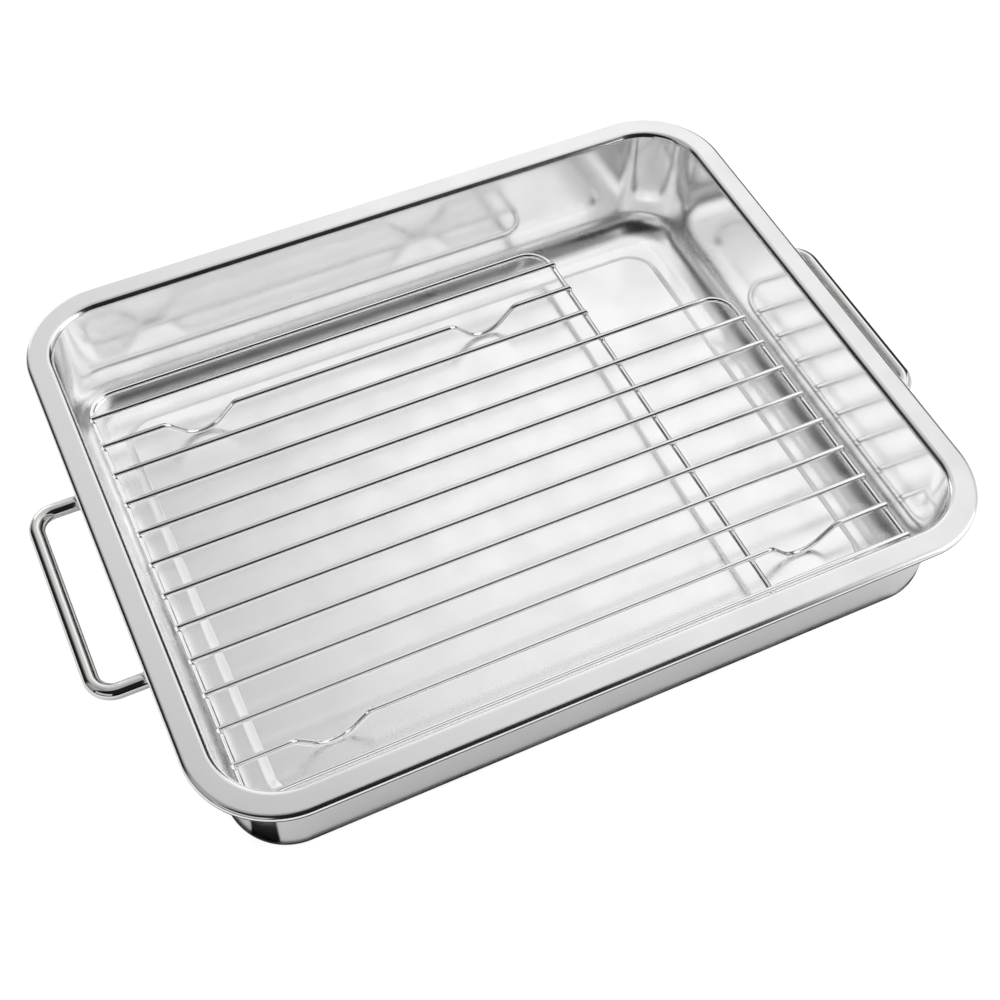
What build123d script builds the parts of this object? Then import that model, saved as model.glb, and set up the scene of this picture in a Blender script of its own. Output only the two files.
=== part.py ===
from build123d import *
import math
import os

# A roasting pan with a wire rack lying in it, in millimetres, +Z up. The origin is under the
# middle of the pan, on the table: X runs along the pan from handle to handle, Y from front to back.

# The pan is pressed from one sheet: floor, leaning walls, flat rim and a rolled edge.
rim_length = 404.0
rim_width = 328.0
rim_corner = 45.0
pan_height = 73.0
sheet = 1.0
roll_diameter = 5.4
rim_overhang = 13.0
rim_fold = 3.3
wall_lean = 2.0
bottom_bend = 15.0
bend_margin = 1.0

# The middle of the floor is pressed up into a flat panel with a short slope round it, so the pan
# stands on a flat ring between the slope and the bends under its walls.
ring_at_ends = 7.0
ring_at_sides = 8.0
panel_corner = 14.0
panel_rise = 3.0
panel_slope = 4.0
panel_crease = 1.5
panel_toe = 2.0

# Each handle is a bent rod whose two legs are welded to pads on the end wall.
rod = 8.0
handle_reach = 36.8
handle_span = 111.5
handle_bend = 11.0
handle_height = 40.5
pad_width = 24.0
pad_height = 26.0
pad_thickness = 2.0
pad_corner = 5.0
pad_edge = 0.6

# The rack is welded from one wire size. Its bars lie on a frame wire and bite into it at the welds.
# It is smaller than the pan by the gaps to the four walls, and lies a little to the right in it.
# Its corners are tighter than the pan's, by the ease.
wire = 3.0
weld_bite = 0.2
gap_left = 7.5
gap_right = 3.8
gap_back = 8.8
gap_front = 7.0
bar_count = 13
short_bar_count = 3
step_length = 80.0
end_gap = 16.0
bar_overhang = 0.5
corner_ease = 14.4
step_bend = 15.0
drop_bend = 10.0
drop_run = 2.8
drop_clearance = 1.2
bar_height = 15.8

# Feet are bent into the second bar and the last but one, two in each.
rest_gap = 0.3
foot_half_width = 19.4
foot_flat_half = 6.5
foot_top_bend = 5.0
foot_bottom_bend = 14.0
short_bar_foot_inset = 54.4
long_bar_foot_inset = 49.0


def quarter_outline(length, width, corner):
    """A quarter of a rounded rectangle, from the middle of its right side to that of its back."""
    with BuildLine(Plane.XY) as outline:
        Line((length / 2, 0), (length / 2, width / 2 - corner))
        TangentArc(
            (length / 2, width / 2 - corner),
            (length / 2 - corner, width / 2),
            tangent=(0, 1),
        )
        Line((length / 2 - corner, width / 2), (0, width / 2))
    return outline.wire()


def round_wire(points, bends, diameter):
    """A round wire along straight runs, with one bend radius for each inner point."""
    with BuildPart() as bent:
        with BuildLine() as path:
            if bends:
                FilletPolyline(*points, radius=bends)
            else:
                Line(*points)
        route = path.wire()
        with BuildSketch(Plane(origin=route @ 0, z_dir=route % 0)):
            Circle(diameter / 2)
        sweep(path=route)
    return bent


# Pan body: the sheet's section at the end wall, from the floor over the wall to the rolled edge,
# goes round the rim's outline, and the section of the panel's slope goes round the panel.
half_rim = rim_length / 2
end_to_side = (rim_length - rim_width) / 2
roll = roll_diameter / 2
roll_axis = half_rim - roll
wall_top = half_rim - rim_overhang
wall_foot = wall_top - wall_lean
wall_angle = math.atan2(wall_lean, pan_height)
wall_skin = sheet / math.cos(wall_angle)
flat_end = wall_foot - bottom_bend - bend_margin
flat_inset = half_rim - flat_end
roll_joint = roll_axis - math.sqrt(roll**2 - (roll - sheet) ** 2)


def wall_outside(height):
    """Half the distance between the outer faces of the end walls at this height."""
    return wall_foot + wall_lean * height / pan_height


def wall_inside(height):
    """Half the distance between the inner faces of the end walls at this height."""
    return wall_outside(height) - wall_skin


slope_angle = math.atan2(panel_rise, panel_slope)
slope_skin = sheet * math.tan(slope_angle / 2)
toe = wall_foot - bottom_bend - ring_at_ends
half_panel = toe - panel_slope
half_panel_side = wall_foot - end_to_side - bottom_bend - ring_at_sides - panel_slope
toe_end = toe + panel_toe
crease_end = half_panel - panel_crease

with BuildPart() as pan_body:
    with BuildSketch(Plane.XZ):
        with BuildLine():
            outside = FilletPolyline(
                (flat_end, 0),
                (wall_foot, 0),
                (wall_outside(pan_height - sheet), pan_height - sheet),
                (roll_joint, pan_height - sheet),
                radius=[bottom_bend, rim_fold - sheet],
            )
            inside = FilletPolyline(
                (flat_end, sheet),
                (wall_inside(sheet), sheet),
                (wall_inside(pan_height), pan_height),
                (roll_axis, pan_height),
                radius=[bottom_bend - sheet, rim_fold],
            )
            Line(outside @ 0, inside @ 0)
            ThreePointArc(
                outside @ 1,
                (roll_axis, pan_height - roll_diameter),
                inside @ 1,
            )
        make_face()
    sweep(path=quarter_outline(rim_length, rim_width, rim_corner))
    with BuildSketch(Plane.XZ):
        with BuildLine():
            under = FilletPolyline(
                (toe_end, 0),
                (toe - slope_skin, 0),
                (half_panel - slope_skin, panel_rise),
                (crease_end, panel_rise),
                radius=[panel_toe + sheet, panel_crease - sheet],
            )
            over = FilletPolyline(
                (toe_end, sheet),
                (toe, sheet),
                (half_panel, sheet + panel_rise),
                (crease_end, sheet + panel_rise),
                radius=[panel_toe, panel_crease],
            )
            Line(under @ 0, over @ 0)
            Line(under @ 1, over @ 1)
        make_face()
    sweep(path=quarter_outline(2 * half_panel, 2 * half_panel_side, panel_corner))
    mirror(about=Plane.XZ)
    mirror(about=Plane.YZ)
    with BuildSketch(Plane.XY):
        RectangleRounded(2 * flat_end, rim_width - 2 * flat_inset, rim_corner - flat_inset)
        RectangleRounded(
            2 * toe_end,
            2 * (half_panel_side + toe_end - half_panel),
            panel_corner + toe_end - half_panel,
            mode=Mode.SUBTRACT,
        )
    extrude(amount=sheet)
    with BuildSketch(Plane.XY.offset(panel_rise)):
        RectangleRounded(
            2 * crease_end,
            2 * (half_panel_side - panel_crease),
            panel_corner - panel_crease,
        )
    extrude(amount=sheet)

# Handles: the pads lie on the leaning end wall, and each rod ends flat on its two pads.
half_span = handle_span / 2
pad_seat = wall_outside(handle_height)
rod_axis = pad_seat + handle_reach
pieces = {"pan_body": pan_body}

for side, side_name in ((-1, "left"), (1, "right")):
    outward = (side * math.cos(wall_angle), 0, -math.sin(wall_angle))
    for end, end_name in ((1, "back"), (-1, "front")):
        seat = Plane(origin=(side * pad_seat, end * half_span, handle_height), x_dir=(0, 1, 0), z_dir=outward)
        with BuildPart() as handle_pad:
            with BuildSketch(seat):
                RectangleRounded(pad_width, pad_height, pad_corner)
            extrude(amount=pad_thickness)
            outer_face = handle_pad.faces().sort_by(Axis.X)[0 if side < 0 else -1]
            chamfer(outer_face.edges(), pad_edge)
        pieces[f"handle_pad_{side_name}_{end_name}"] = handle_pad

    pad_face = Plane(origin=(side * pad_seat, 0, handle_height), z_dir=outward).offset(pad_thickness)
    loop_points = [
        (side * pad_seat, half_span, handle_height),
        (side * rod_axis, half_span, handle_height),
        (side * rod_axis, -half_span, handle_height),
        (side * pad_seat, -half_span, handle_height),
    ]
    with BuildPart() as handle:
        add(round_wire(loop_points, [handle_bend, handle_bend], rod).part)
        split(bisect_by=pad_face, keep=Keep.TOP)
    pieces[f"{side_name}_handle"] = handle

# Rack frame: one wire that starts as the step bar, above, drops under the next bar at the right
# corner, goes round the rack, turns at the step and ends as the middle wire on the front wire.
panel_top = panel_rise + sheet
bar_level = panel_top + bar_height
frame_level = bar_level - wire + weld_bite
foot_level = panel_top + rest_gap + wire / 2
wall_reach = wall_inside(frame_level) - wire / 2
left = gap_left - wall_reach
right = wall_reach - gap_right
middle = right - step_length
back = wall_reach - end_to_side - gap_back
front = gap_front - wall_reach + end_to_side
bar_pitch = (back - front - 2 * end_gap) / (bar_count - 1)
step_bar = short_bar_count + 1
frame_bend = rim_corner - half_rim + wall_inside(frame_level) - corner_ease


def bar_place(number):
    """The Y of a bar, counted from 1 at the back."""
    return back - end_gap - (number - 1) * bar_pitch


step_y = bar_place(step_bar)
step_bar_bend = bar_pitch - wire / 2 - drop_clearance - drop_run
drop_end = step_y - step_bar_bend - drop_run
loop_start = (left + right) / 2

outer_points = [
    (left - bar_overhang, step_y, bar_level),
    (right, step_y, bar_level),
    (right, drop_end, frame_level),
    (right, front, frame_level),
    (left, front, frame_level),
    (left, back, frame_level),
    (loop_start, back, frame_level),
]
outer_bends = [step_bar_bend, drop_bend, frame_bend, frame_bend, frame_bend]
step_points = [
    (loop_start, back, frame_level),
    (middle, back, frame_level),
    (middle, front, frame_level),
]
with BuildPart() as rack_frame:
    add(round_wire(outer_points, outer_bends, wire).part)
    add(round_wire(step_points, [step_bend], wire).part)
pieces["rack_frame"] = rack_frame

# Rack bars: the ones behind the step bar reach the middle wire, the others the right wire.
footed_bars = (2, bar_count - 1)
for number in range(1, bar_count + 1):
    if number == step_bar:
        continue
    y = bar_place(number)
    short = number < step_bar
    start = left - bar_overhang
    stop = (middle if short else right) + bar_overhang
    inset = short_bar_foot_inset if short else long_bar_foot_inset
    points = [(start, y, bar_level)]
    bends = []
    if number in footed_bars:
        for centre in (left + inset, stop - bar_overhang - inset):
            points.append((centre - foot_half_width, y, bar_level))
            points.append((centre - foot_flat_half, y, foot_level))
            points.append((centre + foot_flat_half, y, foot_level))
            points.append((centre + foot_half_width, y, bar_level))
            bends += [foot_top_bend, foot_bottom_bend, foot_bottom_bend, foot_top_bend]
    points.append((stop, y, bar_level))
    pieces[f"rack_bar_{number:02d}"] = round_wire(points, bends, wire)

os.makedirs("parts", exist_ok=True)
for name, piece in pieces.items():
    piece.part.label = name
    export_step(piece.part, f"parts/{name}.step")
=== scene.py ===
import math

import bmesh
import bpy
from mathutils import Matrix, Vector


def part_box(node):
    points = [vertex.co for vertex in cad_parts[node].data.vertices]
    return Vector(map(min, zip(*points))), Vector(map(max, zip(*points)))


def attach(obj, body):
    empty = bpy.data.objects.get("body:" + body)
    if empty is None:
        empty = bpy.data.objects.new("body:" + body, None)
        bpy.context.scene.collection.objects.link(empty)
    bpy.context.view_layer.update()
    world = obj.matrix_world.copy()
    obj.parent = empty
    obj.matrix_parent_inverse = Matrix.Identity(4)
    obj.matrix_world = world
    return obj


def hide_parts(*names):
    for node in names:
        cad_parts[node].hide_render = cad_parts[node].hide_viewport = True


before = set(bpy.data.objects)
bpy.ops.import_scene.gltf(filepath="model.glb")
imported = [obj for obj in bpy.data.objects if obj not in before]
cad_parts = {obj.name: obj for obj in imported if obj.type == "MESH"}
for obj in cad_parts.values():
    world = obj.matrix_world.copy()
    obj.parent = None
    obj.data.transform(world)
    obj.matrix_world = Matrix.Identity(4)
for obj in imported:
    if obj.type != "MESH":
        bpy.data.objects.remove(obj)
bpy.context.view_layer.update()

# Camera: it stands a little to the left of the pan's front and looks steeply down into it. The
# photograph is cropped, so the lens's axis passes left of the middle of the picture.
camera_azimuth = math.radians(-24.679)
camera_elevation = math.radians(54.436)
camera_roll = math.radians(0.14)
camera_distance = 0.7514
camera_target = Vector((-0.0358, -0.0419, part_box("pan_body")[1][2]))
focal_pixels = 1564.9
picture_pixels = 1000
optical_axis_pixel = (456.6, 497.9)

back = Vector((
    math.sin(camera_azimuth) * math.cos(camera_elevation),
    -math.cos(camera_azimuth) * math.cos(camera_elevation),
    math.sin(camera_elevation),
))
camera_data = bpy.data.cameras.new("camera")
camera_data.lens = camera_data.sensor_width * focal_pixels / picture_pixels
camera_data.shift_x = 0.5 - optical_axis_pixel[0] / picture_pixels
camera_data.shift_y = optical_axis_pixel[1] / picture_pixels - 0.5
camera_data.clip_start = 0.01
camera_data.clip_end = 50
camera = bpy.data.objects.new("camera", camera_data)
camera.location = camera_target + back * camera_distance
turn = (-back).to_track_quat("-Z", "Y").to_matrix() @ Matrix.Rotation(camera_roll, 3, "Z")
camera.rotation_euler = turn.to_euler()
bpy.context.collection.objects.link(camera)
bpy.context.scene.camera = camera
bpy.context.scene.view_settings.view_transform = "Standard"


# Pan body: one sheet of stainless steel, deep drawn into a flat floor with a raised panel, leaning
# walls, a flat rim and a rolled edge. The floor keeps the grain of the rolled sheet, the walls are
# buffed brighter, and the rim is rubbed satin.
def linear(hex_colour):
    """An sRGB colour such as "#D8D8D6" as the linear RGBA that a shader takes."""
    values = [int(hex_colour[i:i + 2], 16) / 255 for i in (1, 3, 5)]
    return [v / 12.92 if v <= 0.04045 else ((v + 0.055) / 1.055) ** 2.4 for v in values] + [1]


def add_node(tree, kind, links=(), **settings):
    """Adds a node. Settings set its sockets or properties, and links join (socket, output) pairs."""
    node = tree.nodes.new(kind)
    for name, value in settings.items():
        if hasattr(node, name):
            setattr(node, name, value)
        else:
            node.inputs[name.replace("_", " ")].default_value = value
    for socket, output in links:
        tree.links.new(output, node.inputs[socket])
    return node


same_place = 1e-6


def tangent_length(before, corner, after, radius):
    """How far from a corner its bend of this radius starts."""
    turned = (corner - before).angle(after - corner)
    return radius * math.tan(turned / 2)


def bent_line(mesh, points, radii, segments):
    """Makes a line of edges in the XZ plane, bent round at each inner point, and gives its end."""
    points = [Vector((x, 0, z)) for x, z in points]
    line = [mesh.verts.new(p) for p in points]
    for a, b in zip(line, line[1:]):
        mesh.edges.new((a, b))
    for i, (radius, steps) in enumerate(zip(radii, segments), start=1):
        bmesh.ops.bevel(
            mesh,
            geom=[line[i]],
            offset=tangent_length(points[i - 1], points[i], points[i + 1], radius),
            offset_type="OFFSET",
            segments=steps,
            profile=0.5,
            affect="VERTICES",
            material=-1,
        )
    return line[-1]


def quarter_ring(mesh, side_x, side_y, corner, steps):
    """Takes a section that lies at y = 0 round a quarter of a rounded rectangle, from side to side."""
    section = mesh.edges[:]
    bmesh.ops.translate(mesh, verts=mesh.verts, vec=(0, side_y - corner, 0))
    spun = bmesh.ops.spin(
        mesh,
        geom=mesh.verts[:] + section,
        cent=(side_x - corner, side_y - corner, 0),
        axis=(0, 0, 1),
        angle=math.pi / 2,
        steps=steps,
    )
    last = [e for e in spun["geom_last"] if isinstance(e, bmesh.types.BMEdge)]
    for ends, axis in ((section, 1), (last, 0)):
        run = bmesh.ops.extrude_edge_only(mesh, edges=ends)
        for v in run["geom"]:
            if isinstance(v, bmesh.types.BMVert):
                v.co[axis] = 0


def mirror_quarter(mesh):
    """Completes a quarter that ends on the planes x = 0 and y = 0."""
    for axis in ("X", "Y"):
        bmesh.ops.mirror(
            mesh,
            geom=mesh.verts[:] + mesh.edges[:] + mesh.faces[:],
            axis=axis,
            merge_dist=same_place,
        )


def open_edges_at(mesh, level):
    """The border edges that lie at this height."""
    edges = [e for e in mesh.edges if e.is_boundary]
    return [e for e in edges if all(abs(v.co.z - level) < same_place for v in e.verts)]


def placed(mesh, name):
    """Makes the object of a bmesh."""
    data = bpy.data.meshes.new(name)
    mesh.to_mesh(data)
    mesh.free()
    piece = bpy.data.objects.new(name, data)
    bpy.context.collection.objects.link(piece)
    return piece


def smoothed(mesh, name, sharp_angle=math.radians(40)):
    """Makes the object of a bmesh, smooth but for edges sharper than the angle."""
    for f in mesh.faces:
        f.smooth = True
    for e in mesh.edges:
        e.smooth = len(e.link_faces) == 2 and e.calc_face_angle() < sharp_angle
    piece = placed(mesh, name)
    weighted = piece.modifiers.new("flat faces stay flat", "WEIGHTED_NORMAL")
    weighted.mode = "FACE_AREA"
    weighted.weight = 100
    weighted.keep_sharp = True
    return piece


rim_x, rim_y, rim_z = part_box("pan_body")[1]
sheet = 0.001
rim_corner = 0.045
roll_radius = 0.0027
rim_overhang = 0.013
rim_fold = 0.0033
wall_lean = 0.002
bottom_bend = 0.015
bend_margin = 0.001
ring_at_ends = 0.007
ring_at_sides = 0.008
panel_corner = 0.014
panel_rise = 0.003
panel_slope = 0.004
panel_crease = 0.0015
panel_toe = 0.002

corner_steps = 28
roll_steps = 26
bend_steps = 18
fold_steps_under, fold_steps_over = 6, 12
toe_steps = 5
crease_steps_under, crease_steps_over = 3, 4

# The section of the end wall, under and over the sheet, from the floor to the rolled edge.
end_to_side = rim_x - rim_y
wall_top = rim_x - rim_overhang
wall_foot = wall_top - wall_lean
wall_skin = sheet / math.cos(math.atan2(wall_lean, rim_z))
flat_end = wall_foot - bottom_bend - bend_margin
roll_axis = rim_x - roll_radius
roll_level = rim_z - roll_radius
roll_joint = roll_axis - math.sqrt(roll_radius**2 - (roll_radius - sheet) ** 2)
under_rim = rim_z - sheet

pan_mesh = bmesh.new()
joint = bent_line(
    pan_mesh,
    [
        (flat_end, 0),
        (wall_foot, 0),
        (wall_top - wall_lean * sheet / rim_z, under_rim),
        (roll_joint, under_rim),
    ],
    radii=[bottom_bend, rim_fold - sheet],
    segments=[bend_steps, fold_steps_under],
)
bent_line(
    pan_mesh,
    [
        (flat_end, sheet),
        (wall_foot + wall_lean * sheet / rim_z - wall_skin, sheet),
        (wall_top - wall_skin, rim_z),
        (roll_axis, rim_z),
    ],
    radii=[bottom_bend - sheet, rim_fold],
    segments=[bend_steps, fold_steps_over],
)
roll_start = Vector((roll_joint - roll_axis, 0, under_rim - roll_level))
bmesh.ops.spin(
    pan_mesh,
    geom=[joint],
    cent=(roll_axis, 0, roll_level),
    axis=(0, -1, 0),
    angle=2 * math.pi - roll_start.angle(Vector((0, 0, 1))),
    steps=roll_steps,
)
bmesh.ops.remove_doubles(pan_mesh, verts=pan_mesh.verts, dist=same_place)
quarter_ring(pan_mesh, rim_x, rim_y, rim_corner, corner_steps)

# The section of the slope round the raised panel, and the flat floor and panel between the rings.
toe = wall_foot - bottom_bend - ring_at_ends
half_panel = toe - panel_slope
half_panel_side = wall_foot - end_to_side - bottom_bend - ring_at_sides - panel_slope
slope_skin = sheet * math.tan(math.atan2(panel_rise, panel_slope) / 2)
panel_mesh = bmesh.new()
bent_line(
    panel_mesh,
    [
        (toe + panel_toe, 0),
        (toe - slope_skin, 0),
        (half_panel - slope_skin, panel_rise),
        (half_panel - panel_crease, panel_rise),
    ],
    radii=[panel_toe + sheet, panel_crease - sheet],
    segments=[toe_steps, crease_steps_under],
)
bent_line(
    panel_mesh,
    [
        (toe + panel_toe, sheet),
        (toe, sheet),
        (half_panel, sheet + panel_rise),
        (half_panel - panel_crease, sheet + panel_rise),
    ],
    radii=[panel_toe, panel_crease],
    segments=[toe_steps, crease_steps_over],
)
quarter_ring(panel_mesh, half_panel, half_panel_side, panel_corner, corner_steps)
panel_data = bpy.data.meshes.new("panel")
panel_mesh.to_mesh(panel_data)
panel_mesh.free()
pan_mesh.from_mesh(panel_data)
bpy.data.meshes.remove(panel_data)
mirror_quarter(pan_mesh)
for level in (0, sheet):
    bmesh.ops.bridge_loops(pan_mesh, edges=open_edges_at(pan_mesh, level))
for level in (panel_rise, panel_rise + sheet):
    bmesh.ops.edgeloop_fill(pan_mesh, edges=open_edges_at(pan_mesh, level))
bmesh.ops.recalc_face_normals(pan_mesh, faces=pan_mesh.faces)
pan = smoothed(pan_mesh, "pressed_pan")

smudge_size = 0.022
smudge_change = 0.15
wave_size = 0.045
wave_height = 0.0008
wave_strength = 0.25


def new_material(name):
    """A material with an empty node tree."""
    material = bpy.data.materials.new(name)
    material.use_nodes = True
    material.node_tree.nodes.clear()
    return material


def steel(name, colour, roughness, anisotropy=0.0):
    """A steel finish, smudged a little by hands, with slow waves from the work that bent it."""
    material = new_material(name)
    tree = material.node_tree
    place = add_node(tree, "ShaderNodeTexCoord")
    smudge = add_node(
        tree,
        "ShaderNodeTexNoise",
        links=[("Vector", place.outputs["Object"])],
        Scale=1 / smudge_size,
        Detail=3.0,
    )
    blur = add_node(
        tree,
        "ShaderNodeMapRange",
        links=[("Value", smudge.outputs["Fac"])],
        From_Min=0.3,
        From_Max=0.7,
        To_Min=roughness * (1 - smudge_change),
        To_Max=roughness * (1 + smudge_change),
    )
    wave = add_node(
        tree,
        "ShaderNodeTexNoise",
        links=[("Vector", place.outputs["Object"])],
        Scale=1 / wave_size,
        Detail=1.0,
    )
    bump = add_node(
        tree,
        "ShaderNodeBump",
        links=[("Height", wave.outputs["Fac"])],
        Strength=wave_strength,
        Distance=wave_height,
    )
    shader = add_node(
        tree,
        "ShaderNodeBsdfPrincipled",
        links=[("Roughness", blur.outputs["Result"]), ("Normal", bump.outputs["Normal"])],
        Base_Color=linear(colour),
        Metallic=1.0,
        Anisotropic=anisotropy,
    )
    if anisotropy:
        grain = add_node(tree, "ShaderNodeTangent", direction_type="UV_MAP", uv_map="across_grain")
        tree.links.new(grain.outputs["Tangent"], shader.inputs["Tangent"])
    add_node(tree, "ShaderNodeOutputMaterial", links=[("Surface", shader.outputs["BSDF"])])
    return material


# Stainless steel as rolled: its fine lengthwise grain smears what the floor mirrors across it.
floor_steel = steel("rolled_stainless_floor", "#EEEEEE", 0.22, anisotropy=0.85)
# Buffed with a cloth wheel, so the walls mirror the rack and each other, softly.
wall_steel = steel("buffed_stainless_wall", "#EEEEEE", 0.15)
# Rubbed with fine grit, so the rim is an even pale grey.
rim_steel = steel("satin_stainless_rim", "#E4E4E4", 0.30)
# Stretched by the draw, which leaves the bends under the walls a little matt.
bend_steel = steel("drawn_stainless_bend", "#EAEAEA", 0.28)
# Painted shade under the rolled edge: a thin, dull dark line round the rim, on the sides of the roll
# that face out and down.
painted_shade_under_roll = new_material("painted_shade_under_rolled_edge")
tree = painted_shade_under_roll.node_tree
shader = add_node(tree, "ShaderNodeBsdfPrincipled", Base_Color=linear("#202020"), Roughness=0.8)
add_node(tree, "ShaderNodeOutputMaterial", links=[("Surface", shader.outputs["BSDF"])])


def inside_rim(point):
    """How far a point lies inside the rim's outline."""
    past_x = max(abs(point.x) - rim_x + rim_corner, 0)
    past_y = max(abs(point.y) - rim_y + rim_corner, 0)
    return rim_corner - math.hypot(past_x, past_y)


finishes = [wall_steel, floor_steel, rim_steel, bend_steel, painted_shade_under_roll]
for material in finishes:
    pan.data.materials.append(material)
floor_top = sheet + panel_rise
flat_side = flat_end - end_to_side
tolerance = 0.0001
level_normal = 0.9
# Heights of the normal between which the roll's faces get the painted shade.
painted_shade_normals = (-0.35, 0.2)
for face in pan.data.polygons:
    points = [pan.data.vertices[v].co for v in face.vertices]
    lowest = min(p.z for p in points)
    highest = max(p.z for p in points)
    past_flat = max(max(abs(p.x) - flat_end, abs(p.y) - flat_side) for p in points)
    on_roll = max(inside_rim(p) for p in points) < 2 * roll_radius + tolerance
    finish = wall_steel
    if highest < floor_top + tolerance and past_flat < tolerance:
        finish = floor_steel
    elif highest < bottom_bend + tolerance:
        finish = bend_steel
    elif lowest > under_rim - tolerance and face.normal.z > level_normal:
        finish = rim_steel
    # Painted shade: the roll's faces that turn sideways and down are painted dark.
    elif on_roll and painted_shade_normals[0] < face.normal.z < painted_shade_normals[1]:
        finish = painted_shade_under_roll
    face.material_index = finishes.index(finish)
across_grain = pan.data.uv_layers.new(name="across_grain")
for corner in pan.data.loops:
    point = pan.data.vertices[corner.vertex_index].co
    across_grain.uv[corner.index].vector = (point.y, -point.x)
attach(pan, "pan")
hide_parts("pan_body")


# Handles: bent from round stainless rod, with each leg welded to a pad that is spot-welded to the
# end wall. Rod and pads are polished to a mirror.
def dress(node, material):
    """Gives one of the solids its material."""
    node.data.materials.clear()
    node.data.materials.append(material)


# Polished on a wheel: it shows the room as sharp black and white lines along the rod.
rod_steel = steel("polished_stainless_rod", "#DEDEDC", 0.06)
for name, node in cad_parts.items():
    if name.endswith("_handle") or name.startswith("handle_pad"):
        dress(node, rod_steel)


# Rack: a frame bent from one round steel wire, and twelve straight or footed bars that lie on it.
# The bars are welded where they cross the frame, and the whole rack is plated bright after that.

# Bright plating over drawn wire: nearly a mirror, white on top of each wire and dark below.
wire_chrome = steel("bright_plated_wire", "#E8E8E8", 0.05)
for name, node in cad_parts.items():
    if name.startswith("rack"):
        dress(node, wire_chrome)


# Welds: where a bar lies on a frame wire, the two are pressed together hot, and the steel squeezed out
# of the joint stands round it as a flat bead, plated with the rest.
wire_radius = 0.0015
step_length = 0.080
bar_count = 13
step_bar = 4
bead_radius = 0.0020
bead_flatness = 0.4

rack_low, rack_high = (Vector(corner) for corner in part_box("rack_frame"))
left_wire = rack_low.x + wire_radius
right_wire = rack_high.x - wire_radius
middle_wire = right_wire - step_length
weld_level = rack_low.z + 2 * wire_radius
bars = {}
for number in range(1, bar_count + 1):
    if number != step_bar:
        low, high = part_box(f"rack_bar_{number:02d}")
        bars[number] = (low[1] + high[1]) / 2
bars[step_bar] = (bars[step_bar - 1] + bars[step_bar + 1]) / 2
weld_mesh = bmesh.new()
for number, y in bars.items():
    crossed = [left_wire, middle_wire] + ([right_wire] if number > step_bar else [])
    for x in crossed:
        bmesh.ops.create_uvsphere(
            weld_mesh,
            u_segments=16,
            v_segments=8,
            radius=bead_radius,
            matrix=Matrix.Translation((x, y, weld_level)) @ Matrix.Diagonal((1, 1, bead_flatness, 1)),
        )
welds = smoothed(weld_mesh, "rack_welds")
welds.data.materials.append(wire_chrome)
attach(welds, "rack")


# Table: matt and pale, and plain white to the camera. Steel sees it dimmer close to the pan than a few
# centimetres off: the pan's real shadow on it, and a painted shadow in the glow that steel sees.
table_radius = 0.7
table_level = -0.0001
glow_to_camera = 0.85
shade_ends = (0.045, 0.085)
glow_to_steel = (0.06, 0.2)

table_mesh = bmesh.new()
bmesh.ops.create_circle(table_mesh, cap_ends=True, segments=96, radius=table_radius)
bmesh.ops.translate(table_mesh, verts=table_mesh.verts, vec=(0, 0, table_level))
table = placed(table_mesh, "table")
table_paint = new_material("white_table")
tree = table_paint.node_tree
ray = add_node(tree, "ShaderNodeLightPath")
place = add_node(tree, "ShaderNodeTexCoord")
spot = add_node(tree, "ShaderNodeSeparateXYZ", links=[("Vector", place.outputs["Object"])])
beside = []
for axis, foot in (("X", wall_foot), ("Y", wall_foot - end_to_side)):
    off_middle = add_node(tree, "ShaderNodeMath", links=[(0, spot.outputs[axis])], operation="ABSOLUTE")
    from_foot = add_node(
        tree,
        "ShaderNodeMath",
        links=[(0, off_middle.outputs["Value"])],
        operation="SUBTRACT",
    )
    from_foot.inputs[1].default_value = foot
    beside.append(from_foot.outputs["Value"])
from_pan = add_node(
    tree,
    "ShaderNodeMath",
    links=[(0, beside[0]), (1, beside[1])],
    operation="MAXIMUM",
)
# Painted shadow: the glow that steel sees is dimmer within a few centimetres of the pan's foot.
past_shade = add_node(
    tree,
    "ShaderNodeMapRange",
    links=[("Value", from_pan.outputs["Value"])],
    interpolation_type="SMOOTHSTEP",
    From_Min=shade_ends[0],
    From_Max=shade_ends[1],
    To_Min=glow_to_steel[0],
    To_Max=glow_to_steel[1],
)
seen_in_steel = add_node(
    tree,
    "ShaderNodeMath",
    links=[(0, ray.outputs["Is Glossy Ray"]), (1, past_shade.outputs["Result"])],
    operation="MULTIPLY",
)
seen = add_node(
    tree,
    "ShaderNodeMath",
    links=[(0, ray.outputs["Is Camera Ray"]), (2, seen_in_steel.outputs["Value"])],
    operation="MULTIPLY_ADD",
)
seen.inputs[1].default_value = glow_to_camera
paint = add_node(tree, "ShaderNodeBsdfDiffuse", Color=linear("#D4D4D4"))
glow = add_node(tree, "ShaderNodeEmission", links=[("Strength", seen.outputs["Value"])])
both = add_node(
    tree,
    "ShaderNodeAddShader",
    links=[(0, paint.outputs["BSDF"]), (1, glow.outputs["Emission"])],
)
add_node(tree, "ShaderNodeOutputMaterial", links=[("Surface", both.outputs["Shader"])])
table.data.materials.append(table_paint)


# Tent: white cloth round and over the table, with black cards in front of it. The camera sees plain
# white. Each surface of the pan mirrors its own part of the tent, and so gets its tone from it.
world = bpy.data.worlds.new("tent")
bpy.context.scene.world = world
world.use_nodes = True
tree = world.node_tree
tree.nodes.clear()
place = add_node(tree, "ShaderNodeTexCoord")
towards = add_node(tree, "ShaderNodeSeparateXYZ", links=[("Vector", place.outputs["Generated"])])

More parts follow.
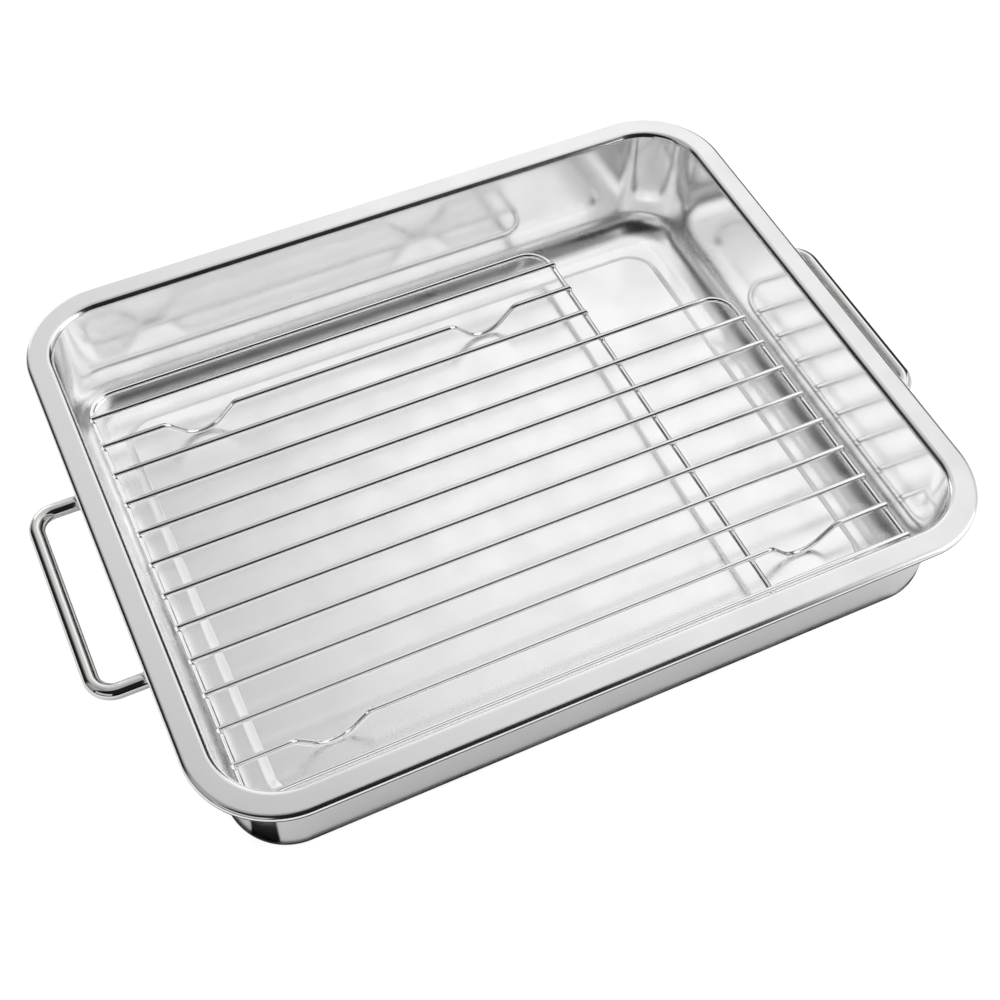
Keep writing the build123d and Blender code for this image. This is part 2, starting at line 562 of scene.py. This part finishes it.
# Each row is a soft step of brightness along one axis of the direction, from start to end. The cloth
# is brighter at the right and dimmer overhead, and it dims low down, but not at the back.
tent = {}
for name, axis, start, end, from_strength, to_strength in (
    ("cloth_to_the_right", "X", 0.03, 0.25, 0.8, 1.18),
    ("cloth_overhead", "Z", 0.83, 0.93, 1.0, 0.66),
    ("cloth_low_down", "Z", 0.4, 0.6, 0.6, 1.0),
    ("back_cloth", "Y", 0.55, 0.68, 0.0, 1.0),
    ("left_card", "X", -0.74, -0.15, 0.03, 1.0),
    ("left_gap_front_end", "Y", -0.2, -0.1, 0.0, 1.0),
    ("left_gap_back_end", "Y", 0.25, 0.4, 0.6, 0.0),
    ("right_card_inner_edge", "X", 0.58, 0.7, 0.0, 1.0),
    ("right_card_front_end", "Y", 0.3, 0.38, 0.0, 1.0),
    ("front_card_inner_edge", "Y", -0.35, 0.0, 1.0, 0.0),
    ("front_card_right_end", "X", 0.4, 0.47, 1.0, 0.0),
):
    tent[name] = add_node(
        tree,
        "ShaderNodeMapRange",
        links=[("Value", towards.outputs[axis])],
        interpolation_type="SMOOTHSTEP",
        From_Min=start,
        From_Max=end,
        To_Min=from_strength,
        To_Max=to_strength,
    ).outputs["Result"]
for name, operation, first, second in (
    ("cloth", "MULTIPLY", "cloth_to_the_right", "cloth_overhead"),
    ("low_down", "MAXIMUM", "cloth_low_down", "back_cloth"),
    ("left_gap", "MULTIPLY", "left_gap_front_end", "left_gap_back_end"),
    ("left_side", "MAXIMUM", "left_card", "left_gap"),
    ("right_card", "MULTIPLY", "right_card_inner_edge", "right_card_front_end"),
    ("front_card", "MULTIPLY", "front_card_inner_edge", "front_card_right_end"),
):
    tent[name] = add_node(
        tree,
        "ShaderNodeMath",
        links=[(0, tent[first]), (1, tent[second])],
        operation=operation,
    ).outputs["Value"]
for side, card, strength in (("right_side", "right_card", 0.03), ("front_side", "front_card", 0.02)):
    tent[side] = add_node(
        tree,
        "ShaderNodeMapRange",
        links=[("Value", tent[card])],
        interpolation_type="SMOOTHSTEP",
        To_Min=1.0,
        To_Max=strength,
    ).outputs["Result"]
seen_first = tent["cloth"]
for part in ("low_down", "left_side", "right_side", "front_side"):
    seen_first = add_node(
        tree,
        "ShaderNodeMath",
        links=[(0, seen_first), (1, tent[part])],
        operation="MULTIPLY",
    ).outputs["Value"]

# From the second reflection on, steel sees a plainer tent, which is bright from the middle up and
# leans a little to the right and back. Ray Depth is 2 at the first reflection.
lean = add_node(
    tree,
    "ShaderNodeVectorMath",
    links=[(0, place.outputs["Generated"])],
    operation="DOT_PRODUCT",
)
lean.inputs[1].default_value = (0.12, 0.15, 1.0)
seen_later = add_node(
    tree,
    "ShaderNodeMapRange",
    links=[("Value", lean.outputs["Value"])],
    interpolation_type="SMOOTHSTEP",
    From_Min=0.46,
    From_Max=0.54,
    To_Min=0.03,
    To_Max=1.38,
)
ray = add_node(tree, "ShaderNodeLightPath")
later = add_node(tree, "ShaderNodeMath", links=[(0, ray.outputs["Ray Depth"])], operation="GREATER_THAN")
later.inputs[1].default_value = 2.5
strength = add_node(
    tree,
    "ShaderNodeMix",
    links=[
        ("Factor", later.outputs["Value"]),
        ("A", seen_first),
        ("B", seen_later.outputs["Result"]),
    ],
)
light = add_node(
    tree,
    "ShaderNodeBackground",
    links=[("Strength", strength.outputs["Result"])],
    Color=linear("#FFFFFF"),
)
white = add_node(tree, "ShaderNodeBackground", Color=linear("#FFFFFF"), Strength=1.0)
seen = add_node(
    tree,
    "ShaderNodeMixShader",
    links=[
        ("Fac", ray.outputs["Is Camera Ray"]),
        (1, light.outputs["Background"]),
        (2, white.outputs["Background"]),
    ],
)
add_node(tree, "ShaderNodeOutputWorld", links=[("Surface", seen.outputs["Shader"])])


# Softboxes: three lamps behind white cloth stand round the table, turned to the pan. Azimuths are
# degrees from the back towards the right, and the light is in watts.
softbox_distance = 1.3
softbox_height = 0.4
softbox_depth = 0.5
lit_place = Vector((0, 0, 0.05))
for name, azimuth, width, watts in (
    ("right_softbox", 125, 1.0, 3.4),
    ("left_softbox", -125, 1.0, 1.0),
    ("back_softbox", -20, 0.5, 0.8),
):
    lamp = bpy.data.lights.new(name, "AREA")
    lamp.shape = "RECTANGLE"
    lamp.size = width
    lamp.size_y = softbox_depth
    lamp.energy = watts
    softbox = bpy.data.objects.new(name, lamp)
    direction = Vector((math.sin(math.radians(azimuth)), math.cos(math.radians(azimuth)), 0))
    softbox.location = direction * softbox_distance + Vector((0, 0, softbox_height))
    softbox.rotation_euler = (lit_place - softbox.location).to_track_quat("-Z", "Y").to_euler()
    softbox.visible_camera = False
    bpy.context.collection.objects.link(softbox)


# Black sheets on the table, which only steel sees, as painted shade in its reflections: a mat under the
# pan, a painted shadow that draws the dark line along the foot of the walls, and a scrap at the front
# left corner, a painted dark reflection that draws the patch there.
shade_card_level = -0.00005
mat_edge = 0.0065
mat_x = wall_foot + mat_edge
mat_y = mat_x - end_to_side
painted_reflected_shade = new_material("painted_reflected_shade")
tree = painted_reflected_shade.node_tree
matt = add_node(tree, "ShaderNodeBsdfDiffuse", Color=linear("#0A0A0A"))
add_node(tree, "ShaderNodeOutputMaterial", links=[("Surface", matt.outputs["BSDF"])])
for name, corners in (
    ("painted_shadow_mat", [(-mat_x, -mat_y), (mat_x, -mat_y), (mat_x, mat_y), (-mat_x, mat_y)]),
    ("painted_dark_patch_card", [(-0.200, -0.136), (-0.184, -0.158), (-0.171, -0.146), (-0.180, -0.135)]),
):
    shade_card_mesh = bmesh.new()
    shade_card_mesh.faces.new([shade_card_mesh.verts.new((x, y, shade_card_level)) for x, y in corners])
    if name == "painted_shadow_mat":
        bmesh.ops.bevel(
            shade_card_mesh,
            geom=shade_card_mesh.verts[:],
            offset=rim_corner - rim_x + mat_x,
            segments=12,
            profile=0.5,
            affect="VERTICES",
            material=-1,
        )
    shade_card = placed(shade_card_mesh, name)
    shade_card.data.materials.append(painted_reflected_shade)
    # Hidden from the camera, from shadows and from diffuse light, so the sheets only paint shade into
    # what steel mirrors.
    shade_card.visible_camera = False
    shade_card.visible_shadow = False
    shade_card.visible_diffuse = False
